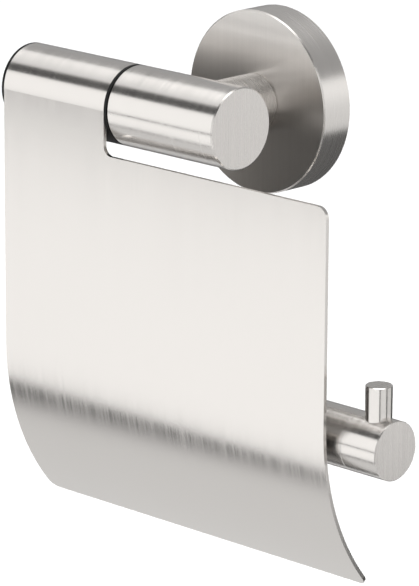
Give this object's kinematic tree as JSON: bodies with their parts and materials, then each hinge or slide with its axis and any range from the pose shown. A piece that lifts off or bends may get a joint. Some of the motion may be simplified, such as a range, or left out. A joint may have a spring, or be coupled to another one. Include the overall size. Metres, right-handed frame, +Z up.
{
  "type": "toilet paper holder",
  "caption": "Wall-mounted toilet paper holder: a hinged cover flap with a curved lip, a round roll arm with an upright stop pin, and a round wall rosette.",
  "frame": {"origin": "on the wall plane, at the axis of the rosette and middle of the two wall holes", "axes": "+X right along the wall, +Y into the wall, +Z up; the front faces -Y"},
  "size_m": [0.1586, 0.0532, 0.1608],
  "materials": {
    "brushed_stainless": "fine straight brushing, satin",
    "zinc_casting": "die-cast zinc, dull",
    "screw_steel": "zinc-plated or plain turned steel",
    "black_nylon": "black moulded nylon"
  },
  "bodies": {
    "holder": {"rosette": "brushed_stainless", "post": "brushed_stainless", "top_bar": "brushed_stainless", "side_strap": "brushed_stainless", "roll_arm": "brushed_stainless", "knob": "brushed_stainless", "stop_pin": "brushed_stainless", "wall_bracket": "zinc_casting", "rosette_grub_screw": "screw_steel", "post_plug": "screw_steel", "post_washer": "screw_steel", "post_screw": "screw_steel", "spindle": "screw_steel", "spindle_grub_screw": "screw_steel", "spindle_end_washer": "screw_steel", "spindle_end_screw": "screw_steel", "arm_strap_plug": "screw_steel", "arm_end_plug": "screw_steel", "knob_stud": "screw_steel", "stop_pin_stud": "screw_steel"},
    "cover_flap": {"flap_sheet": "brushed_stainless", "hinge_bush_left": "black_nylon", "hinge_bush_right": "black_nylon"}
  },
  "joints": [
    {"name": "flap_hinge", "type": "hinge", "parent": "holder", "child": "cover_flap", "pos_m": [0, -0.0407, 0], "axis": [-1, 0, 0], "range_deg": [-1.3, 196]}
  ]
}
